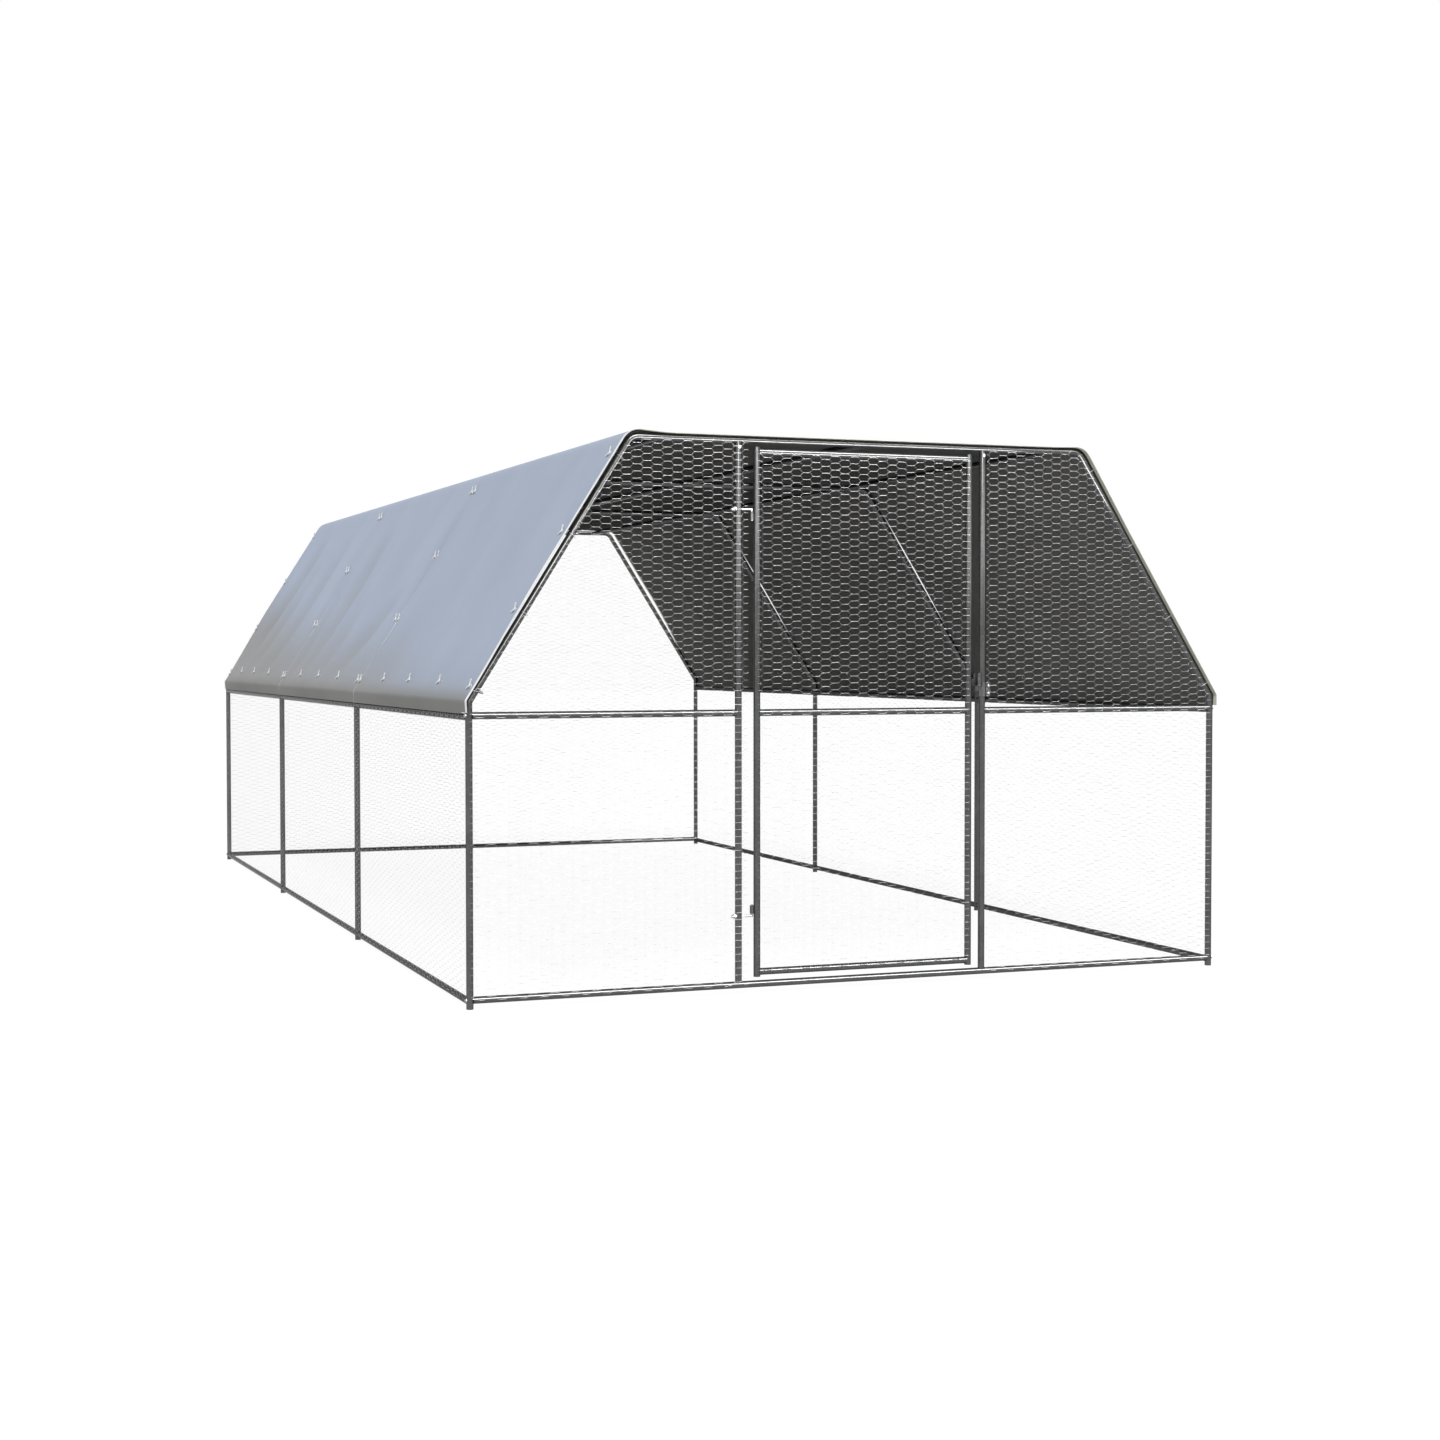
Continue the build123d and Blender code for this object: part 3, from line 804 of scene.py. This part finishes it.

# How strongly the left slope's folds are painted darker: painted shade along the creases
fold_shade_strength = 17
for name, (front_edge, back_edge, draw_back) in cover_edges.items():
    length = back_edge - front_edge
    along_marks = [0, 0.0015, 0.022, 0.024, *spaced(0.030, length - 0.030, 0.024), length - 0.030]
    along_marks += [length - 0.024, length - 0.022, length - 0.0015, length]
    bpy.ops.object.select_all(action="DESELECT")
    bpy.ops.mesh.primitive_grid_add(
        x_subdivisions=len(along_marks) - 1,
        y_subdivisions=len(section_marks) - 1,
        size=1,
        location=(0, 0, 0),
    )
    cover = bpy.context.object
    cover.name = f"{name}_cloth"
    mesh = cover.data
    cloth_place = mesh.attributes.new("cloth_place", "FLOAT_VECTOR", "POINT")
    cloth_tone_and_shade = mesh.attributes.new("cloth_tone_and_shade", "FLOAT_VECTOR", "POINT")
    for vertex in mesh.vertices:
        along = along_marks[round((vertex.co.x + 0.5) * (len(along_marks) - 1))]
        distance = section_marks[round((vertex.co.y + 0.5) * (len(section_marks) - 1))]
        point, way = on_cover(name, along / length, distance)
        edge_gap = min(along, length - along)
        hem_height = 0.0005 + (0 if name == "front_cover" else 0.3 * tuck_length * tucked(distance))
        ridge = hem_height * max(0, 1 - abs(edge_gap - 0.010) / 0.012)
        vertex.co = (point[0] + way[0] * ridge, point[1], point[2] + way[1] * ridge)
        down = slope_share(distance)
        from_front = point[1] - cover_edges["front_cover"][0]
        # The grey starts low on the slope at the front and higher up towards the rear
        grey_start = 0.91 - 0.010 * from_front - 0.0017 * from_front**3
        grey_start += 0.14 * soft_step((1.9 - from_front) / 1.2)
        # Painted shade: on the left slope the fold depth is added to the grey share, so the creases are
        # painted darker
        fold_shade = fold_shade_strength * fold_depth(point[1], distance) if distance < 0 else 0
        grey_and_fold_shade = min(1, soft_step((down - grey_start + 0.25) / 0.5) + fold_shade)
        # On the cut edges the same share instead gives how far the edge is tucked under
        if edge_gap == 0:
            grey_and_fold_shade = tucked(distance)
        # Share below the knee, which carries the valance's painted shade
        below_knee = soft_step((down - 0.94) / 0.085)
        gable_gap = along if name == "front_cover" else length - along
        hem = 1 if name != "middle_cover" and gable_gap < 0.023 else 0
        cloth_place.data[vertex.index].vector = (along, distance, edge_gap)
        cloth_tone_and_shade.data[vertex.index].vector = (grey_and_fold_shade, below_knee, hem)
    bpy.ops.object.mode_set(mode="EDIT")
    bpy.ops.mesh.select_all(action="SELECT")
    bpy.ops.mesh.normals_make_consistent(inside=False)
    bpy.ops.object.mode_set(mode="OBJECT")
    highest = max(mesh.polygons, key=lambda face: face.center.z)
    if highest.normal.z < 0:
        bpy.ops.object.mode_set(mode="EDIT")
        bpy.ops.mesh.flip_normals()
        bpy.ops.object.mode_set(mode="OBJECT")
    for finish in (cloth_outside, cloth_inside, cloth_rim):
        mesh.materials.append(finish)
    bpy.ops.object.modifier_add(type="SOLIDIFY")
    wall = cover.modifiers[-1]
    wall.thickness = cloth_thickness
    wall.offset = 0
    wall.material_offset = 1
    wall.material_offset_rim = 2
    bpy.ops.object.modifier_apply(modifier=wall.name)
    bpy.ops.object.shade_smooth_by_angle(angle=math.radians(45))
    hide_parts(name)
    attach(cover, "frame")

# Cover ties: short lengths of white cord, knotted through an eyelet and round the rib behind it.
# Each leaves two cut ends: one stands up the slope, the other lies back along the cloth.
tie_radius = 0.0031
loop_radius = 0.0009
tie_white, nodes, links, shader = new_finish("tie_cord")
place = nodes.new("ShaderNodeTexCoord")
braid = nodes.new("ShaderNodeTexWave")
braid.wave_type = "BANDS"
braid.bands_direction = "DIAGONAL"
braid.inputs["Scale"].default_value = 260
links.new(place.outputs["Object"], braid.inputs["Vector"])
cord_tone = colour_steps(nodes, ((0.2, (0.86, 0.86, 0.85)), (0.8, (0.94, 0.94, 0.93))))
links.new(braid.outputs["Fac"], cord_tone.inputs["Fac"])
links.new(cord_tone.outputs["Color"], shader.inputs["Base Color"])
bump = nodes.new("ShaderNodeBump")
bump.inputs["Strength"].default_value = 0.3
bump.inputs["Distance"].default_value = 0.0004
links.new(braid.outputs["Fac"], bump.inputs["Height"])
links.new(bump.outputs["Normal"], shader.inputs["Normal"])
shader.inputs["Roughness"].default_value = 0.55


def bent_cord(name, radius, points):
    # A round cord along a smooth line that these points steer
    line = bpy.data.curves.new(name, "CURVE")
    line.dimensions = "3D"
    line.resolution_u = 3
    line.bevel_depth = radius
    line.bevel_resolution = 1
    line.use_fill_caps = True
    run = line.splines.new("NURBS")
    run.points.add(len(points) - 1)
    for target, point in zip(run.points, points):
        target.co = (*point, 1)
    run.order_u = 3
    run.use_endpoint_u = True
    cord = bpy.data.objects.new(name, line)
    scene.collection.objects.link(cord)
    bpy.ops.object.select_all(action="DESELECT")
    cord.select_set(True)
    bpy.context.view_layer.objects.active = cord
    bpy.ops.object.convert(target="MESH")
    return bpy.context.object


def knotted_tie(reach, gap):
    # From the eyelet, X runs down the slope, Y along the run and Z out of the cloth.
    # The rib lies at Y = reach, with the cloth standing off it by the gap
    up_end = (
        (0, 0, 0.001),
        (-0.003, 0, 0.006),
        (-0.009, -0.003, 0.010),
        (-0.020, -0.006, 0.014),
    )
    back_end = (
        (0, 0, 0.002),
        (0.003, 0.006, 0.006),
        (0.007, 0.014, 0.005),
        (0.013, 0.025, 0.004),
    )
    knot = (
        (0.004, -0.003, 0.001),
        (0.005, 0.004, 0.003),
        (-0.003, 0.005, 0.006),
        (-0.005, -0.002, 0.007),
        (0.002, -0.005, 0.005),
        (0.005, 0.001, 0.003),
        (0, 0.004, 0.001),
    )
    parts = [
        bent_cord("up_end", tie_radius, up_end),
        bent_cord("back_end", tie_radius, back_end),
        bent_cord("knot", tie_radius, knot),
    ]
    if reach:
        way = math.copysign(1, reach)
        far = reach + way * (tube_radius + loop_radius)
        axis = -gap - cloth_out - cloth_thickness / 2
        under = axis - tube_radius - loop_radius
        route = (
            (0, 0, 0.001),
            (0, 0, -0.008),
            (0, reach - way * 0.018, under),
            (0, reach, under - 0.001),
            (0, far, under),
            (0, far, axis),
            (0, far, axis + tube_radius),
        )
    else:
        route = ((0.002, 0, 0.002), (0.002, 0, -0.005), (0.006, 0, -0.006), (0.009, 0, -0.002))
    parts.append(bent_cord("loop", loop_radius, route))
    bpy.ops.object.select_all(action="DESELECT")
    for part in parts:
        part.select_set(True)
    bpy.context.view_layer.objects.active = parts[0]
    bpy.ops.object.join()
    tie = bpy.context.object
    bpy.ops.object.shade_smooth()
    tie.data.materials.clear()
    tie.data.materials.append(tie_white)
    return tie


# Eyelets: thin pressed metal rings round the holes in the cloth, a little tarnished.
# A tie goes through each, and the ties and rings of a cover are joined into one piece.
eyelet_metal, nodes, links, shader = new_finish("eyelet_ring")
place = nodes.new("ShaderNodeTexCoord")
tarnish = nodes.new("ShaderNodeTexNoise")
tarnish.inputs["Scale"].default_value = 140
links.new(place.outputs["Object"], tarnish.inputs["Vector"])
ring_tone = colour_steps(nodes, ((0.35, (0.42, 0.43, 0.44)), (0.65, (0.62, 0.63, 0.64))))
links.new(tarnish.outputs["Fac"], ring_tone.inputs["Fac"])
links.new(ring_tone.outputs["Color"], shader.inputs["Base Color"])
shader.inputs["Metallic"].default_value = 1
shader.inputs["Roughness"].default_value = 0.35
bpy.ops.object.select_all(action="DESELECT")
bpy.ops.mesh.primitive_torus_add(
    major_radius=0.0068, minor_radius=0.0015, major_segments=14, minor_segments=6, location=(0, 0, 0)
)
eyelet = bpy.context.object
bpy.ops.object.mode_set(mode="EDIT")
bpy.ops.mesh.select_all(action="SELECT")
bpy.ops.transform.resize(value=(1, 1, 0.6), center_override=(0, 0, 0))
bpy.ops.object.mode_set(mode="OBJECT")
bpy.ops.object.shade_smooth()
eyelet.data.materials.append(eyelet_metal)

close_gap = 0.0006
loose_gap = 0.012
tie_models = {}
for name, places in cover_eyelets.items():
    front_edge, back_edge, draw_back = cover_edges[name]
    tied = []
    for y, reach, distance in places:
        share = (y - front_edge) / (back_edge - front_edge - draw_back(distance))
        point, way = on_cover(name, share, distance)
        out = cloth_thickness / 2 + 0.0004
        gap = loose_gap if distance < -slope_start else close_gap
        sort = (round(reach, 3), gap)
        if sort not in tie_models:
            tie_models[sort] = knotted_tie(*sort)
        for model in (tie_models[sort], eyelet):
            copy = model.copy()
            copy.data = model.data.copy()
            scene.collection.objects.link(copy)
            copy.location = (point[0] + way[0] * out, point[1], point[2] + way[1] * out)
            copy.rotation_euler = (0, math.atan2(way[0], way[1]), 0)
            if distance < 0:
                copy.scale = (-1, 1, 1)
            tied.append(copy)
    bpy.ops.object.select_all(action="DESELECT")
    for copy in tied:
        copy.select_set(True)
    bpy.context.view_layer.objects.active = tied[0]
    bpy.ops.object.transform_apply(location=True, rotation=True, scale=True)
    bpy.ops.object.join()
    ties = bpy.context.object
    ties.name = f"{name}_ties"
    bpy.ops.object.mode_set(mode="EDIT")
    bpy.ops.mesh.select_all(action="SELECT")
    bpy.ops.mesh.normals_make_consistent(inside=False)
    bpy.ops.object.mode_set(mode="OBJECT")
    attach(ties, "frame")
for model in {*tie_models.values(), eyelet}:
    bpy.data.objects.remove(model)

# Net fastening: a twist of dull zinc wire that holds the net to the left rafter near the knee.
# Its cut end stands out, as the photograph shows.
twist_route = (
    (-1.480, -2.9562, 1.1015),
    (-1.470, -2.9585, 1.0998),
    (-1.458, -2.959, 1.0965),
    (-1.444, -2.957, 1.0925),
)
wire_end = bent_cord("net_fastening", 0.0036, twist_route)
wire_end.data.materials.append(tube_zinc)
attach(wire_end, "frame")

# Studio: a white floor and surroundings, soft daylight from the front left, and four panels in front
# that show only in reflections.
bpy.ops.object.select_all(action="DESELECT")
bpy.ops.mesh.primitive_plane_add(size=120, location=(0, 0, -0.0006))
floor = bpy.context.object
floor.name = "floor"
floor_white, nodes, links, shader = new_finish("floor_white")
nodes.remove(shader)


def seen_directly(nodes, links):
    # One for what the camera, a mirror or a glass sees, nought for light on its way
    paths = nodes.new("ShaderNodeLightPath")
    first = nodes.new("ShaderNodeMath")
    first.operation = "MAXIMUM"
    second = nodes.new("ShaderNodeMath")
    second.operation = "MAXIMUM"
    links.new(paths.outputs["Is Camera Ray"], first.inputs[0])
    links.new(paths.outputs["Is Glossy Ray"], first.inputs[1])
    links.new(first.outputs["Value"], second.inputs[0])
    links.new(paths.outputs["Is Transmission Ray"], second.inputs[1])
    return second.outputs["Value"]


bounce = nodes.new("ShaderNodeBsdfDiffuse")
bounce.inputs["Color"].default_value = (0.5, 0.5, 0.5, 1)
shaded = nodes.new("ShaderNodeBsdfDiffuse")
shaded.inputs["Color"].default_value = (0.06, 0.06, 0.06, 1)
glow = nodes.new("ShaderNodeEmission")
glow.inputs["Strength"].default_value = 0.962
white = nodes.new("ShaderNodeAddShader")
either = nodes.new("ShaderNodeMixShader")
links.new(shaded.outputs["BSDF"], white.inputs[0])
links.new(glow.outputs["Emission"], white.inputs[1])
links.new(seen_directly(nodes, links), either.inputs["Fac"])
links.new(bounce.outputs["BSDF"], either.inputs[1])
links.new(white.outputs["Shader"], either.inputs[2])
links.new(either.outputs["Shader"], nodes["Material Output"].inputs["Surface"])
floor.data.materials.append(floor_white)

world = bpy.data.worlds.new("studio")
scene.world = world
world.use_nodes = True
nodes = world.node_tree.nodes
links = world.node_tree.links
sky = nodes["Background"]
sky.inputs["Color"].default_value = (1, 1, 1, 1)
sky.inputs["Strength"].default_value = 0.5
backdrop = nodes.new("ShaderNodeBackground")
backdrop.inputs["Color"].default_value = (1, 1, 1, 1)
backdrop.inputs["Strength"].default_value = 1
either = nodes.new("ShaderNodeMixShader")
links.new(seen_directly(nodes, links), either.inputs["Fac"])
links.new(sky.outputs["Background"], either.inputs[1])
links.new(backdrop.outputs["Background"], either.inputs[2])
links.new(either.outputs["Shader"], nodes["World Output"].inputs["Surface"])

daylight = bpy.data.lights.new("daylight", "SUN")
daylight.energy = 2.0
daylight.angle = math.radians(15)
key_lamp = bpy.data.objects.new("daylight", daylight)
scene.collection.objects.link(key_lamp)
key_lamp.rotation_euler = Vector((-0.35, -0.5, 0.79)).to_track_quat("Z", "Y").to_euler()
key_lamp.visible_glossy = False


def mirrored_panel(name, place, aim, wide, high, power):
    # A soft panel that lights nothing by itself and shows only in reflections
    data = bpy.data.lights.new(name, "AREA")
    data.shape = "RECTANGLE"
    data.size = wide
    data.size_y = high
    data.energy = power
    panel = bpy.data.objects.new(name, data)
    scene.collection.objects.link(panel)
    panel.location = place
    away = panel.location - Vector(aim)
    panel.rotation_euler = away.to_track_quat("Z", "Y").to_euler()
    panel.visible_camera = False
    panel.visible_diffuse = False


mirrored_panel("high_panel", (4.5, -12.5, 9.0), (4.5, -2.95, 1.0), 14, 4.5, 4950)
mirrored_panel("low_panel", (0, -8.0, 2.1), (0, -2.95, 2.1), 40, 0.7, 233)
mirrored_panel("near_panel", (0, -3.48, 1.62), (0, -3.48, 2.0), 1.9, 0.3, 43)
mirrored_panel("left_panel", (-1.63, -8.0, 2.95), (-1.2, -2.95, 1.53), 1.5, 1.3, 95)

# Camera: at chest height in front of the left corner, looking along the run with the door at the right.
view = bpy.data.cameras.new("photo_view")
view.lens = 54.0
view.sensor_width = 36
view.clip_end = 300
camera = bpy.data.objects.new("photo_view", view)
scene.collection.objects.link(camera)
camera.location = (-3.308, -10.200, 1.224)
camera.rotation_euler = (math.radians(90 - 1.727), math.radians(0.04), math.radians(-20.704))
scene.camera = camera
scene.view_settings.view_transform = "Standard"
